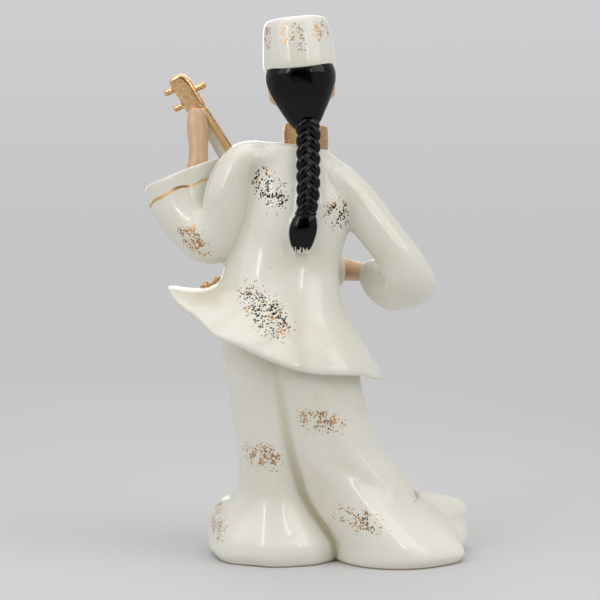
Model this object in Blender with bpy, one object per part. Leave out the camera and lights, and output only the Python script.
# Porcelain figurine: a standing lute player in a long tunic and trousers.
# Metres, +Z up, the figure looks along -Y, its own left is +X.
# The tables below are hand-set sections in millimetres; S turns them to metres.
import bpy
import bmesh
import numpy as np

S = 0.001
TURN = 2 * np.pi
GAP = 0.3            # clearance kept between neighbouring pieces, mm
MOVE_X, MOVE_Y = 0.2, 4.5   # puts the middle of the whole figure on the origin, mm

for old in list(bpy.data.objects):
    bpy.data.objects.remove(old, do_unlink=True)


def smooth(keys, values, at):
    """Cubic curve through hand-set keys."""
    keys, values, at = np.asarray(keys, float), np.asarray(values, float), np.asarray(at, float)
    slopes = np.gradient(values, keys, axis=0)
    at = np.clip(at, keys[0], keys[-1])
    i = np.clip(np.searchsorted(keys, at, side='right') - 1, 0, len(keys) - 2)
    grow_to = at.shape + (1,) * (values.ndim - 1)
    h = (keys[i + 1] - keys[i]).reshape(grow_to)
    t = (at.reshape(grow_to) - keys[i].reshape(grow_to)) / h
    return ((1 + 2 * t) * (1 - t) ** 2 * values[i] + t * (1 - t) ** 2 * h * slopes[i]
            + t * t * (3 - 2 * t) * values[i + 1] + t * t * (t - 1) * h * slopes[i + 1])


def step(a, b, x):
    t = np.clip((x - a) / (b - a), 0, 1)
    return t * t * (3 - 2 * t)


def hump(angle, centre_deg, width_deg):
    d = (angle - np.radians(centre_deg) + np.pi) % TURN - np.pi
    return np.exp(-(d / np.radians(width_deg)) ** 2)


def stations(rows, per_row):
    return np.linspace(0, len(rows) - 1, (len(rows) - 1) * per_row + 1)


def angles(n):
    return np.arange(n) * TURN / n


# ---------------------------------------------------------------- trousers
# height, then left leg (cx half-x cy half-y), right leg (same), section centre x
LEGS = np.array([
    [0.0, 15.0, 34.0, 2, 37.0, -48.0, 32.5, 3, 43.5, -13.0],
    [1.2, 15.0, 36.2, 2, 39.2, -48.0, 34.5, 3, 45.5, -13.0],
    [4.0, 15.5, 37.5, 2, 40.5, -48.5, 35.5, 3, 46.8, -12.7],
    [10., 15.5, 37.5, 2, 40.5, -47.0, 35.0, 3, 46.5, -11.7],
    [18., 16.5, 33.5, 2, 37.5, -41.5, 34.0, 3, 44.5, -9.5],
    [27., 17.0, 27.0, 2, 34.0, -34.5, 34.0, 3, 42.0, -7.0],
    [36., 17.0, 22.3, 2, 31.5, -28.5, 33.5, 3, 40.0, -4.5],
    [47., 17.2, 20.5, 2, 30.8, -21.5, 32.0, 3, 38.5, -1.5],
    [60., 17.8, 20.7, 2, 31.0, -13.5, 30.0, 3, 37.5, 2.5],
    [75., 18.3, 22.2, 2, 31.2, -7.5, 29.5, 3, 37.0, 7.0],
    [92., 18.7, 24.8, 2, 31.8, -2.5, 29.2, 3, 36.5, 11.5],
    [106., 19.5, 26.2, 2, 32.0, 0.5, 29.5, 3, 35.5, 14.0],
    [118., 19.0, 27.5, 2, 30.0, 3.0, 27.5, 3, 31.0, 14.0],
    [132., 16.0, 23.0, 2, 24.0, 7.0, 20.0, 3, 25.0, 13.0],
])
LEG_Y = 2.5


def leg_reach(cx, a, cy, b, ox, c, s):
    """Distance from the section centre to one leg's oval along a direction."""
    big = (c / a) ** 2 + (s / b) ** 2
    mid = (ox - cx) * c / a ** 2 + (LEG_Y - cy) * s / b ** 2
    low = ((ox - cx) / a) ** 2 + ((LEG_Y - cy) / b) ** 2 - 1
    disc = mid * mid - big * low
    return np.maximum(np.where(disc > 0, (-mid + np.sqrt(np.maximum(disc, 0))) / big, 0), 0)


def leg_radius(z, around):
    """Two leg ovals blended at each height, with hem flutes and one long fold."""
    z = np.asarray(z, float)[:, None]
    a = around[None]
    k = smooth(LEGS[:, 0], LEGS[:, 1:], z[:, 0])[:, None, :]
    cx1, a1, cy1, b1, cx2, a2, cy2, b2, ox = np.moveaxis(k, -1, 0)
    c, s = np.cos(a), np.sin(a)
    r1 = leg_reach(cx1, a1, cy1, b1, ox, c, s)
    r2 = leg_reach(cx2, a2, cy2, b2, ox, c, s)
    r = 0.5 * (r1 + r2 + np.sqrt((r1 - r2) ** 2 + 9.0))
    r = r + smooth([0, 4, 10, 18, 22, 25, 29, 31.5, 34, 38, 44, 60], [4.9, 8.4, 11.9, 15.6, 18.9, 19.5, 18.2, 12.5, 3.5, 2, 1.2, 0], z) * hump(a, 193, 11)
    r = r + smooth([0, 4, 10, 18, 25, 30, 33.5, 38, 44, 50, 60], [1.5, 3.5, 5.2, 8.7, 9.3, 7.5, 3.2, 0, -1.2, -0.6, 0], z) * hump(a, -22, 17)
    r = r + smooth([0, 4, 10, 16, 24], [6, 6.5, 5, 2.5, 0], z) * hump(a, 163, 13)
    low = 1 - step(6, 42, z)
    for deg, wide, high in ((27, 10, 1.8), (52, 10, 1.4), (40, 7, -1.0), (74, 8, 1.6), (142, 10, 2.5), (168, 8, -2.0),
                            (300, 9, 2.5), (250, 9, 3.0), (222, 9, 2.5), (236, 6, -1.5)):
        r = r + low * high * hump(a, deg, wide)
    turn = smooth([0, 20, 40, 60, 80, 110], [158, 150, 134, 112, 98, 92], z)
    d = (a - np.radians(turn) + np.pi) % TURN - np.pi
    r = r - smooth([0, 12, 30, 50, 70, 90, 110], [0, 1.4, 2.5, 2.2, 1.3, 0.3, 0], z) * np.exp(-(d / np.radians(14)) ** 2)
    return r, ox


def trousers(z, around, wall=0.0):
    """Outside of the trousers, or with a wall given the inside, which stays clear of every groove."""
    r, ox = leg_radius(z, around)
    if wall:
        for turn in (-15, -10, -5, 5, 10, 15):
            r = np.minimum(r, leg_radius(z, around + np.radians(turn))[0])
        r = r - wall
    x, y, z = np.broadcast_arrays(ox + r * np.cos(around), LEG_Y + r * np.sin(around), np.asarray(z, float)[:, None])
    return np.stack((x, y, z + np.clip(z - 112, 0, 16) * np.clip(x + 10, 0, None) * 0.019), -1)


# ---------------------------------------------------------------- tunic
# reach left, right, back, front, then the height of the ring at those four places
TUNIC = [
    [9.5, -12.5, 10.5, -10.5, 228, 226.5, 225.5, 224],
    [15, -14.0, 12.0, -12.5, 230, 227.0, 223.0, 223],
    [25, -19.5, 13.5, -15.0, 231, 225.5, 218.5, 220],
    [34, -27.0, 15.5, -17.5, 227, 220.5, 211.5, 214],
    [37, -30.0, 18.0, -20.0, 216, 210.0, 202.0, 204],
    [36, -29.0, 21.5, -22.0, 202, 197.0, 193.0, 194],
    [37, -24.5, 22.5, -22.5, 189, 184.0, 181.0, 183],
    [41, -20.5, 22.0, -22.5, 176, 171.0, 170.0, 171],
    [44.3, -18.8, 23.5, -23.5, 165.5, 159.0, 160.0, 160],
    [46, -19.2, 27.0, -26.0, 158, 148.0, 150.0, 150],
    [49, -21.0, 32.0, -29.5, 151.8, 138.0, 139.5, 140],
    [56.5, -26.3, 37.5, -33.5, 148.8, 129.0, 128.0, 131],
    [66, -33.5, 43.5, -37.5, 149.5, 121.0, 116.5, 123],
    [73.5, -40.0, 47.5, -41.0, 151.0, 115.5, 105.5, 117.5],
    [76.3, -42.5, 49.0, -42.5, 150.7, 112.5, 98.5, 114.5],
    [75.5, -42.0, 48.0, -42.0, 148.3, 110.5, 96.5, 112.6],
    [70, -38.5, 44.5, -39.0, 146.6, 111.5, 97.5, 113],
    [56, -33.0, 38.0, -35.0, 145, 115.5, 101.5, 117],
    [40, -24.0, 28.0, -26.0, 144, 121, 110, 122],
]


def rings(rows, at, around):
    """Ovals with a reach and a height of their own at left, back, right and front."""
    r = smooth(np.arange(len(rows)), rows, at)[:, None, :]
    c, s = np.cos(around)[None], np.sin(around)[None]
    xl, xr, yb, yf, zl, zb, zr, zf = np.moveaxis(r, -1, 0)
    x = (xl + xr) / 2 + (xl - xr) / 2 * c
    y = (yb + yf) / 2 + (yb - yf) / 2 * s
    z = (zl + zb + zr + zf) / 4 + (zl - zr) / 2 * c + (zb - zf) / 2 * s + (zl + zr - zb - zf) / 4 * np.cos(2 * around)[None]
    return np.stack(np.broadcast_arrays(x, y, z), -1)


def tunic(at, around):
    p = rings(TUNIC, at, around)
    a = around[None]
    skirt = (step(8.0, 13.0, at) * (1 - step(15, 17.5, at)))[:, None]
    f = 0
    for deg, wide, high in ((128, 13, 2.6), (103, 12, -2.2), (76, 13, 1.8), (48, 14, -1.4),
                            (235, 13, 2.2), (262, 12, -2.0), (290, 13, 2.2), (318, 12, -1.5)):
        f = f + high * hump(a, deg, wide)
    out = np.stack([np.cos(a), np.sin(a), 0 * a], -1)
    p = p + (skirt * f)[..., None] * out
    w = step(10, 14, at)[:, None]
    p[..., 2] += w * (5.0 * hump(a, 137, 28) - 3.5 * hump(a, 28, 22) - 3.6 * hump(a, 57, 11) - 2.5 * hump(a, 335, 20))
    return p


# ---------------------------------------------------------------- tubes
def tube(rows, at, around, power=1.0):
    """Ovals with a centre and two half-axes given as vectors."""
    r = smooth(np.arange(len(rows)), rows, at)[:, None, :]
    c, s = np.cos(around), np.sin(around)
    c = (np.sign(c) * np.abs(c) ** power)[None, :, None]
    s = (np.sign(s) * np.abs(s) ** power)[None, :, None]
    return r[..., 0:3] + c * r[..., 3:6] + s * r[..., 6:9]


LEFT_SLEEVE = [
    [15.0, 2, 219.0, -2.0, 0, -6.0, 0, 9.0, 0],
    [24.5, 3, 221.0, -1.8, 0, -9.0, 0, 13.0, 0],
    [31.7, 4, 220.3, -5.0, 0, -9.2, 0, 14.0, 0],
    [37.5, 5, 215.5, -8.2, 0, -7.4, 0, 14.5, 0],
    [43.0, 6, 201.3, -10.8, 0, -4.2, 0, 14.5, 0],
    [45.5, 4, 187.8, -10.5, 0, -8.3, 0, 15.0, 0],
    [51.0, 0, 178.4, -5.5, 0, -15.8, 0, 15.0, 0],
    [60.6, -5, 179.5, 3.4, 0, -15.0, 0, 14.0, 0],
    [67.8, -9, 189.4, 10.8, 0, -10.4, 0, 13.0, 0],
    [71.3, -12, 201.5, 16.5, 0, -8.8, 0, 13.0, 0],
    [70.3, -14, 213.0, 20.4, 0, -8.0, 0, 14.5, 0],
]
RIGHT_SLEEVE = [
    [-9, 1, 211, -2, 0, 5.6, 0, 9, 0],
    [-17, 2, 209, -3.8, 0, 8.2, 0, 12.5, 0],
    [-26.7, 2, 200.3, -6.9, 0, 7.6, 0, 13, 0],
    [-34.2, 2, 188.6, -9.3, 0, 7.3, 0, 13, 0],
    [-46.4, 2, 173.2, -9.6, 0, 6.1, 0, 13.5, 0],
    [-53.5, 1, 162.5, -12, 0, 4.6, 0, 13.5, -2],
    [-57.2, -2, 153.6, -14.2, -1, -1.5, 2, 11.5, -7.5],
    [-55.5, -10, 148.9, -13.6, -6, -5, 4.5, 6, -9.6],
    [-51, -18, 149.4, -13.2, -7.5, -9, 6, 4, -9.6],
    [-45.3, -27, 149.8, -13.7, -7.8, -12, 7, 4, -9.5],
]

# ---------------------------------------------------------------- head, hair, cap
NECK_TOP = 236.0
LEAN = np.radians(5.5)


def lean(p):
    """Tips everything above the neck towards the figure's left."""
    x, z = p[..., 0], p[..., 2] - NECK_TOP
    t = LEAN * step(-8, 6, z)
    return np.stack([x * np.cos(t) + z * np.sin(t), p[..., 1], NECK_TOP - x * np.sin(t) + z * np.cos(t)], -1)


def stacked(rows, z, around, power=1.0):
    """Level ovals: half width, back reach, front reach by height."""
    rows = np.asarray(rows, float)
    k = smooth(rows[:, 3], rows[:, :3], z)[:, None, :]
    c, s = np.cos(around)[None], np.sin(around)[None]
    c = np.sign(c) * np.abs(c) ** power
    s = np.sign(s) * np.abs(s) ** power
    x = k[..., 0] * c
    y = (k[..., 1] + k[..., 2]) / 2 + (k[..., 1] - k[..., 2]) / 2 * s
    return np.stack(np.broadcast_arrays(x, y, np.asarray(z, float)[:, None]), -1)


HEAD = [
    [7.6, 7.6, -7.4, 218], [7.6, 7.8, -7.4, 230], [7.9, 8.6, -7.6, 238.5], [8.6, 10.0, -10.0, 241.2],
    [9.4, 11.0, -16.6, 242.6], [10.8, 12.0, -20.0, 244.6], [13.0, 13.5, -21.0, 248], [15.0, 15.5, -21.0, 252.5],
    [16.4, 17.6, -20.8, 258], [17.4, 19.0, -20.8, 264], [17.9, 19.8, -20.8, 270], [17.4, 19.4, -20.0, 277],
    [14.6, 16.4, -16.8, 284], [9.8, 11.2, -11.4, 288], [4.0, 4.6, -4.6, 290],
]


def face(x, z):
    """How far the face stands out of the plain head, by place seen from the front."""
    def spot(cx, cz, wx, wz):
        return np.exp(-((x - cx) / wx) ** 2 - ((z - cz) / wz) ** 2)
    out = 3.9 * np.exp(-(x / 2.1) ** 2) * smooth([252.6, 254.6, 256.2, 260, 265, 270], [0, 0.75, 1.0, 0.72, 0.34, 0], z)
    for side in (-1, 1):
        out = out + 1.1 * spot(side * 2.6, 255.6, 1.3, 1.4)
        out = out - 1.9 * spot(side * 6.6, 263.2, 4.2, 3.2) + 1.0 * spot(side * 6.9, 263.2, 3.1, 1.7)
        out = out + 0.8 * spot(side * 7.2, 268.6, 5.0, 1.6) + 0.8 * spot(side * 9.0, 256.5, 4.5, 4.5)
    out = out + 1.25 * spot(0, 250.9, 3.6, 0.9) + 1.25 * spot(0, 248.9, 3.1, 0.9) - 0.5 * spot(0, 249.9, 4.2, 0.35)
    out = out - 0.7 * spot(0, 246.9, 4.0, 1.0) + 1.2 * spot(0, 244.4, 4.5, 2.0)
    return out


def head(z, around, lift=0.0):
    p = stacked(HEAD, z, around)
    front = step(2.0, -12.0, p[..., 1])
    p[..., 1] -= front * face(p[..., 0], p[..., 2])
    ear = np.exp(-((p[..., 2] - 257.0) / 4.2) ** 4) * (hump(around, 8, 10) + hump(around, 172, 10))[None]
    p[..., 0] += np.sign(p[..., 0]) * 3.0 * ear
    return lean(p)


HAIR = [
    [6.4, 15.5, 6.0, 236.5], [9.4, 16.5, 4.0, 240.0], [12.4, 18.4, 1.0, 245], [15.9, 20.4, -2.0, 251],
    [18.3, 21.4, -6.0, 257], [19.4, 21.9, -10.0, 262.5], [19.6, 22.0, -12.0, 267.5], [18.4, 20.8, -12.0, 272.0],
    [17.6, 20.0, -11.5, 276.5],
]
CAP = [
    [18.9, 20.9, -20.9, 273.6], [19.7, 21.8, -21.9, 273.9], [20.1, 22.3, -22.4, 275.5], [19.9, 22.0, -22.1, 280],
    [19.1, 21.1, -21.3, 288], [18.2, 20.0, -20.4, 294.0], [17.4, 19.2, -19.6, 296.6], [15.9, 17.7, -18.1, 298.3],
    [12.5, 14.0, -14.4, 299.1],
]

def set_back(p):
    """Tips the cap: its lower edge drops towards the nape, its crown dips a little behind the middle."""
    y, k = p[..., 1], np.clip((p[..., 2] - 273.6) / 25.8, 0, 1)
    q = p.copy()
    q[..., 2] += (1 - k) * (-2.4 - 0.114 * y) - k * 0.05 * (y + np.sqrt(y * y + 36) - 4.46)
    return q


# nape to tail: centre, half width, half depth
BRAID = [
    [-1.2, 16.6, 240.5, 7.2, 4.0], [-1.4, 16.3, 233, 6.8, 3.6], [-1.4, 17.6, 224, 6.6, 3.4], [-1.4, 20.6, 213, 6.6, 3.4],
    [-1.3, 23.0, 202, 6.4, 3.3], [-0.8, 24.0, 194, 6.0, 3.1], [0.0, 24.0, 188.9, 5.3, 2.8],
]
TUFT = [
    [0.1, 23.9, 189.2, 4.6, 2.6], [0.6, 24.0, 186.5, 6.3, 3.3], [1.4, 24.0, 181, 7.5, 3.9], [2.0, 23.6, 175.5, 6.9, 3.5],
    [2.3, 23.0, 170.5, 5.2, 2.6], [2.5, 22.6, 167.5, 3.4, 1.7],
]


def strap(rows, at, around, power=1.0, plait=0.0):
    """Flattened rope down the back, its half width waved for each turn of the plait."""
    r = smooth(np.arange(len(rows)), rows, at)[:, None, :]
    c, s = np.cos(around)[None], np.sin(around)[None]
    wave = 1 + plait * np.abs(np.sin(np.pi * (240 - r[..., 2]) / 6.6 + 0.5 * np.pi * (c < 0)))
    x = r[..., 0] + r[..., 3] * wave * np.sign(c) * np.abs(c) ** power
    y = r[..., 1] + r[..., 4] * wave * np.sign(s) * np.abs(s) ** power
    return np.stack(np.broadcast_arrays(x, y, r[..., 2] + 0 * c), -1)


# ---------------------------------------------------------------- lute
LUTE_AT = np.array([7.0, -36.5, 163.5])
U = np.array([0.51, 0.115, 0.86])
U = U / np.linalg.norm(U)                      # up the neck
N = np.array([-0.26, -0.965, 0.0])
N = N - U * (N @ U)
N = N / np.linalg.norm(N)                      # out of the sound skin
T = np.cross(U, N)                             # across, to the figure's left


def lute(s, t, d):
    """Lute coordinates (along the neck, across, out of the front) to figure coordinates."""
    s, t, d = np.broadcast_arrays(np.asarray(s, float), np.asarray(t, float), np.asarray(d, float))
    return LUTE_AT + s[..., None] * U + t[..., None] * T + d[..., None] * N


def slab(depths, scales, half_s, half_t, around, s0=0.0, power=0.5):
    """Rounded-square plate built as rings through its thickness."""
    c, s = np.cos(around)[None], np.sin(around)[None]
    k = np.asarray(scales, float)[:, None]
    return lute(s0 + half_s * k * np.sign(c) * np.abs(c) ** power, half_t * k * np.sign(s) * np.abs(s) ** power,
                np.asarray(depths, float)[:, None])


def bar(rows, around, power=0.55):
    """Bar along the neck: station, centre across, centre depth, half width, half depth."""
    r = np.asarray(rows, float)[:, None, :]
    c, s = np.cos(around)[None], np.sin(around)[None]
    return lute(r[..., 0] + 0 * c, r[..., 1] + r[..., 3] * np.sign(c) * np.abs(c) ** power,
                r[..., 2] + r[..., 4] * np.sign(s) * np.abs(s) ** power)


def rod(a, b, r, around, n=3, swell=0.0):
    """Round rod with domed ends from a to b."""
    a, b = np.asarray(a, float), np.asarray(b, float)
    d = (b - a) / np.linalg.norm(b - a)
    side = np.cross(d, [0.3, 0.2, 0.9])
    side = side / np.linalg.norm(side)
    up = np.cross(d, side)
    k = np.linspace(0.12, 0.5, n)
    t = np.concatenate([r * (1 - np.cos(k * np.pi)), np.linalg.norm(b - a) - r * (1 - np.cos(k[::-1] * np.pi))])
    w = np.concatenate([np.sin(k * np.pi), np.sin(k[::-1] * np.pi) * (1 + swell)]) * r
    return (a + t[:, None, None] * d + w[:, None, None] * (np.cos(around)[None, :, None] * side
                                                           + np.sin(around)[None, :, None] * up))


def limb(points, half_a, half_b, around, across=(0, 1, 0), power=1.0):
    """Tube through points, its section kept square to the path."""
    p = np.asarray(points, float)
    way = np.gradient(p, axis=0)
    way = way / np.linalg.norm(way, axis=1, keepdims=True)
    a = np.asarray(across, float) - way * (way @ np.asarray(across, float))[:, None]
    a = a / np.linalg.norm(a, axis=1, keepdims=True)
    b = np.cross(way, a)
    c, s = np.cos(around)[None, :, None], np.sin(around)[None, :, None]
    return (p[:, None] + np.asarray(half_a, float)[:, None, None] * a[:, None] * np.sign(c) * np.abs(c) ** power
            + np.asarray(half_b, float)[:, None, None] * b[:, None] * np.sign(s) * np.abs(s) ** power)


# ---------------------------------------------------------------- meshes
def material(name, colour, rough, metal=0.0):
    m = bpy.data.materials.get(name)
    if m is None:
        m = bpy.data.materials.new(name)
        m.use_nodes = True
        b = m.node_tree.nodes['Principled BSDF']
        b.inputs['Base Color'].default_value = (*colour, 1.0)
        b.inputs['Roughness'].default_value = rough
        b.inputs['Metallic'].default_value = metal
    return m


WHITE = material('cream_glaze', (0.72, 0.70, 0.60), 0.12)
GOLD = material('gold_lustre', (0.72, 0.46, 0.16), 0.18, 1.0)
BLACK = material('black_glaze', (0.012, 0.011, 0.012), 0.12)
SKIN = material('flesh_glaze', (0.62, 0.42, 0.29), 0.35)


def grow(p, by):
    """Moves a ring surface outwards along its own normals, and its two ends along the path."""
    along = np.gradient(p, axis=0)
    round_ = np.roll(p, -1, 1) - np.roll(p, 1, 1)
    n = np.cross(round_, along)
    n = n / np.maximum(np.linalg.norm(n, axis=-1, keepdims=True), 1e-9)
    middle = p.mean(axis=1, keepdims=True)
    if np.sum(n * (p - middle)) < 0:
        n = -n
    q = p + by * n
    first = p[0].mean(0) - p[1].mean(0)
    last = p[-1].mean(0) - p[-2].mean(0)
    q[0] = q[0] + by * first / max(np.linalg.norm(first), 1e-6)
    q[-1] = q[-1] + by * last / max(np.linalg.norm(last), 1e-6)
    return q


def body(name, p, mat, hidden=False, soft=True):
    """Closed solid from rings: the two end rings are filled with a fan."""
    n, m = p.shape[:2]
    q = np.concatenate([p.reshape(-1, 3), p[:1].mean(1), p[-1:].mean(1)])
    q = (q + np.array([MOVE_X, MOVE_Y, 0])) * S
    bm = bmesh.new()
    v = [bm.verts.new(c) for c in q.tolist()]
    for i in range(n - 1):
        for j in range(m):
            k = (j + 1) % m
            bm.faces.new((v[i * m + j], v[(i + 1) * m + j], v[(i + 1) * m + k], v[i * m + k]))
    for j in range(m):
        k = (j + 1) % m
        bm.faces.new((v[n * m], v[j], v[k]))
        bm.faces.new((v[n * m + 1], v[(n - 1) * m + k], v[(n - 1) * m + j]))
    bmesh.ops.recalc_face_normals(bm, faces=bm.faces)
    mesh = bpy.data.meshes.new(name)
    bm.to_mesh(mesh)
    bm.free()
    ob = bpy.data.objects.new(name, mesh)
    bpy.context.scene.collection.objects.link(ob)
    if hidden:
        ob.hide_render = True
        ob.display_type = 'WIRE'
    else:
        mesh.materials.append(mat)
        if soft:
            mesh.shade_smooth()
    return ob


def tool(p, by=GAP):
    """Hidden cutter: a neighbour grown by the clearance."""
    return body('cutter', grow(p, by) if by else p, None, hidden=True)


def boolean(ob, other, operation='DIFFERENCE', solver='EXACT'):
    m = ob.modifiers.new(operation.lower(), 'BOOLEAN')
    m.operation = operation
    m.solver = solver
    m.object = other
    return ob


A52, A40, A32, A24, A20, A16, A12, A10 = (angles(n) for n in (52, 40, 32, 24, 20, 16, 12, 10))

# --- trousers: one hollow casting, closed at the floor except for its firing vent
TROUSER_Z = np.array([0, 1.2, 4, 8, 13, 18, 23, 27, 30, 33, 37, 43, 50, 60, 71, 83, 95, 106, 114, 121, 128, 132])
legs = trousers(TROUSER_Z, A52)
legs_tool = tool(legs)
ob = body('trousers', legs, WHITE)
boolean(ob, tool(trousers(np.array([4.5, 9, 16, 25, 36, 50, 68, 90, 108, 118]), A32, wall=4.2), 0))
boolean(ob, tool(rod((-13, 4, -4), (-13, 4, 9), 4.5, A16), 0))
boolean(ob, tool(rod((14, 3, 108), (14, 3, 148), 9.0, A16), 0))

# --- tunic: hollow casting that slips over the top of the trousers
coat = tunic(stations(TUNIC, 2)[np.r_[0, 2:37]], A52)
coat_tool = tool(coat)
IN = [[r[0] - 5, r[1] + 5, r[2] - 5, r[3] + 5] + r[4:] for r in TUNIC[3:12]]
IN[0][4:] = [218, 212, 205, 207]
IN[-1][:4] = [44, -20, 28, -26]
neck = head(np.array([218, 224, 230, 235, 239]), A20)
ob = body('tunic', coat, WHITE)
boolean(ob, tool(rings(IN, stations(IN, 1), A32), 0))
boolean(ob, legs_tool)
boolean(ob, tool(neck))

# --- sleeves: hung on the shoulders, mouths hollow
L_ARM = limb([(68.5, -12, 197), (65, -13, 208), (61.3, -14.5, 218.5), (60.9, -16, 228.5), (61.4, -17.8, 237),
              (62.0, -19.2, 244.2), (62.4, -20.2, 249.2)],
             [6.0, 5.8, 5.6, 5.2, 5.2, 4.8, 3.4], [5.6, 5.6, 5.6, 5.6, 6.1, 5.7, 4.0], A16)
R_ARM = limb([(-48, -20, 154), (-41, -27, 156), (-33, -36, 157.5), (-26, -44.0, 158.6), (-18, -49.6, 160)],
             [6.4, 6.2, 5.6, 4.9, 4.6], [6.2, 6.0, 5.6, 5.2, 5.6], A16, across=(0, 0, 1))
for name, rows, arm, first in (('left_sleeve', LEFT_SLEEVE, L_ARM, 7.6), ('right_sleeve', RIGHT_SLEEVE, R_ARM, 7.0)):
    at = stations(rows, 2)
    ob = body(name, tube(rows, at, A32), WHITE)
    hole = [r[:3] + [0.84 * v for v in r[3:]] for r in rows]
    last, before = np.array(hole[-1]), np.array(hole[-2])
    hole = [h for h in hole] + [list(last + 0.9 * (last - before))]
    boolean(ob, tool(tube(hole, np.linspace(first, len(hole) - 1, 6), A32), 0))
    boolean(ob, coat_tool)
    boolean(ob, tool(arm))

# --- head, hair, cap, collar
HEAD_Z = np.array([218, 228, 236, 239.5, 241.2, 242.6, 244.4, 246.6, 248.2, 249.8, 251.4, 253.2, 255, 257, 260, 263, 266,
                   270, 275, 280, 284, 287, 289, 290])
skull = head(HEAD_Z, A40)
body('head', skull, SKIN)
skull_tool = tool(head(HEAD_Z[[0, 2, 4, 6, 9, 12, 14, 16, 17, 18, 19, 20, 21, 22, 23]], A24), 0.6)
hair = lean(stacked(HAIR, np.array([236.5, 240, 245, 251, 257, 262.5, 267.5, 272, 276.5]), A24))
collar_out = rings([[12.0, -12.6, 12.4, -12.4, 222, 221, 220, 219], [12.2, -12.6, 12.4, -12.4, 233, 231, 230.5, 229],
                    [12.9, -12.3, 12.6, -12.8, 239.6, 238.0, 237.6, 235]], stations([0] * 3, 2), A32)
collar_in = rings([[9.4, -9.8, 10.0, -9.8, 215, 215, 215, 215], [9.9, -9.7, 10.2, -10.4, 243, 241, 241, 240]],
                  stations([0] * 2, 2), A32)
ob = body('collar', collar_out, GOLD)
boolean(ob, tool(collar_in, 0))
boolean(ob, coat_tool)
boolean(ob, skull_tool)
collar_tool = tool(collar_out)
ob = body('hair', hair, BLACK)
boolean(ob, skull_tool, solver='MANIFOLD')
boolean(ob, collar_tool, solver='MANIFOLD')
boolean(ob, coat_tool, solver='MANIFOLD')
ob = body('cap', lean(set_back(stacked(CAP, smooth(np.arange(9), [r[3] for r in CAP], np.arange(0, 8.1, 1.0)), A32))), WHITE)
boolean(ob, skull_tool)
boolean(ob, tool(hair))

# --- braid and its brush-like tail
plait = strap(BRAID, stations(BRAID, 4), A12, plait=0.10)
tail = strap(TUFT, stations(TUFT, 2), A16)
ob = body('braid', plait, BLACK)
boolean(ob, tool(hair))
boolean(ob, collar_tool)
boolean(ob, coat_tool)
boolean(ob, skull_tool)
ob = body('braid_tail', tail, BLACK)
boolean(ob, tool(plait))
boolean(ob, coat_tool)

# --- lute: body, sound skin, neck, finger board, peg head, three pegs, bridge, tail piece
bowl = slab([-6.5, -6.5, -5.4, -3.0, 0, 3.0, 5.4, 6.5], [0.5, 0.84, 0.95, 1, 1, 1, 0.96, 0.88], 28, 27, A32, power=0.62)
ob = body('lute_body', bowl, WHITE)
boolean(ob, coat_tool)
body('lute_skin', slab([6.8, 6.9, 7.8, 8.0], [0.78, 0.82, 0.82, 0.78], 28, 27, A32, power=0.62), WHITE)
stick = bar([[28.4, 1.5, 0, 4.8, 3.8], [60, 2.0, 0, 4.6, 3.6], [84, 2.1, 0, 4.1, 3.4], [102.6, 1.9, 0, 3.2, 3.0]], A16)
body('lute_neck', stick, WHITE)
fret = bar([[28.4, 1.2, 4.9, 5.0, 0.8], [60, 1.7, 4.7, 4.8, 0.8], [84, 1.8, 4.5, 4.3, 0.8], [102.6, 1.6, 4.1, 3.4, 0.8]], A16)
body('finger_board', fret, GOLD)
plate = bar([[103.0, 3.0, 0.4, 4.2, 3.0], [104.2, 3.0, 0.4, 5.5, 3.6], [109, 3.1, 0.4, 5.7, 3.7], [115, 3.1, 0.4, 5.7, 3.7],
             [120, 3.4, 0.4, 5.7, 3.7], [124, 4.0, 0.4, 4.9, 3.7], [126.4, 4.6, 0.4, 3.0, 3.0]], A20)
PEGS = [('peg_1', (119.2, 0.5), (121.0, 15.2)), ('peg_2', (108.8, 0.5), (110.6, 15.2)), ('peg_3', (115.4, 5.5), (113.6, -9.0))]
ob = body('peg_head', plate, GOLD)
for name, a, b in PEGS:
    boolean(ob, tool(rod(lute(a[0], a[1], 0.4), lute(b[0], b[1], 0.4), 1.75, A12)))
for name, a, b in PEGS:
    body(name, rod(lute(a[0], a[1], 0.4), lute(b[0], b[1], 0.4), 1.75, A12, swell=0.15), GOLD)
body('bridge', bar([[-12.6, 0, 9.4, 6.5, 1.1], [-10.6, 0, 9.4, 6.5, 1.1]], A12), GOLD)
body('tail_piece', bar([[-20.6, 0, 9.2, 3.2, 0.9], [-16.5, 0, 9.2, 4.6, 0.9]], A12), GOLD)

# --- hands: forearm, palm and fingers of each made in one piece
def hand(name, arm, lumps, cutters):
    ob = body(name, arm, SKIN)
    for p in lumps:
        boolean(ob, body('lump', p, None, hidden=True), 'UNION')
    for c in cutters:
        boolean(ob, c)
    return ob


def finger(points, radii, across):
    return limb(points, radii, radii, A10, across=across)


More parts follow.
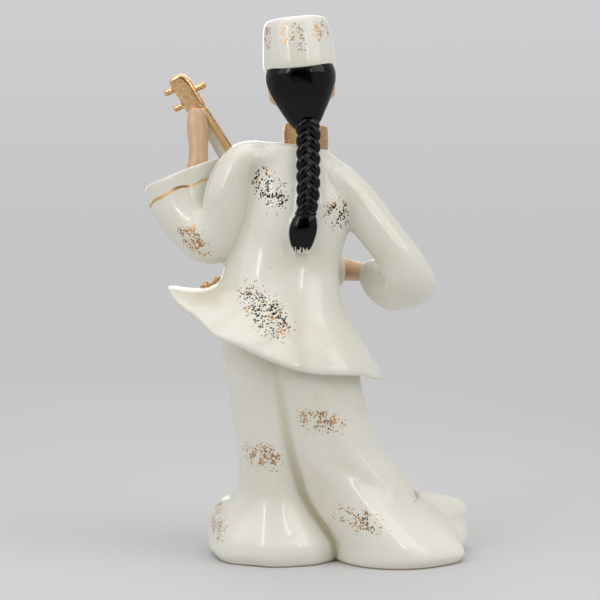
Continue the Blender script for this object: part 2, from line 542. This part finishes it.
lumps = [limb([lute(90, 7.0, -6.4), lute(95, 5.6, -6.2), lute(100, 4.6, -5.8)], [4.6, 5.0, 3.6], [3.0, 3.4, 2.8], A12,
              across=tuple(T))]
for s in (90.2, 93.9, 97.6, 101.2):
    lumps.append(finger([lute(s - 0.4, 7.2, -5.5), lute(s, 8.2, -1.0), lute(s, 7.2, 5.4), lute(s + 0.1, 3.6, 7.9),
                         lute(s + 0.2, -1.0, 7.7)], [1.9, 2.0, 1.95, 1.8, 1.5], tuple(U)))
lumps.append(finger([lute(90, 4.5, -6.4), lute(94.5, 2.6, -6.4), lute(99, 1.4, -6.0), lute(102.2, 0.9, -5.6)],
                    [2.3, 2.2, 2.0, 1.6], tuple(U)))
hand('left_hand', L_ARM, lumps, [tool(stick), tool(fret), tool(plate)])

lumps = [limb([(-21, -47.6, 159.4), (-14, -51.4, 160.8), (-7, -54, 161.6), (-2, -55.6, 161.4)],
              [4.6, 6.4, 6.8, 5.4], [3.0, 3.2, 3.2, 2.8], A12, across=(0, 0, 1))]
for dz in (5.2, 1.7, -1.8, -5.2):
    lumps.append(finger([(-5, -55, 161.5 + dz), (1.0, -57.2, 162 + dz), (5.2, -57.0, 161.6 + dz * 0.96),
                         (8.0, -54.4, 160.8 + dz * 0.92)], [1.9, 1.9, 1.8, 1.4], (0, 0, 1)))
lumps.append(finger([(-14, -51.5, 165), (-8.5, -54.5, 169.5), (-2.5, -56.3, 171.5), (2.0, -55.6, 170.4)],
                    [2.1, 2.2, 2.0, 1.5], (0, 0, 1)))
hand('right_hand', R_ARM, lumps, [tool(bowl)])

# --- knots of the side fastening
KNOTS = [('knot_1', 1.9, -78), ('knot_2', 3.9, -62), ('knot_3', 5.6, -52), ('knot_4', 10.05, -9), ('knot_5', 10.95, -9)]
for name, at, deg in KNOTS:
    q = tunic(np.array([at - 0.05, at, at + 0.05]), np.radians([deg - 1, deg, deg + 1]))
    n = np.cross(q[1, 2] - q[1, 0], q[2, 1] - q[0, 1])
    n = n / np.linalg.norm(n)
    if n @ [0.3, -0.5, 0.8] < 0:
        n = -n
    side = np.cross(n, [0, 0, 1.0])
    side = side / np.linalg.norm(side)
    up = np.cross(side, n)
    turns = np.cos(A12)[None, :, None] * side + np.sin(A12)[None, :, None] * up
    wide = np.array([2.6, 3.2, 3.0, 2.0])[:, None, None]
    out = np.array([-1.2, 0.2, 1.4, 2.3])[:, None, None]
    ob = body(name, q[1, 1] + out * n + wide * turns, GOLD)
    boolean(ob, coat_tool)
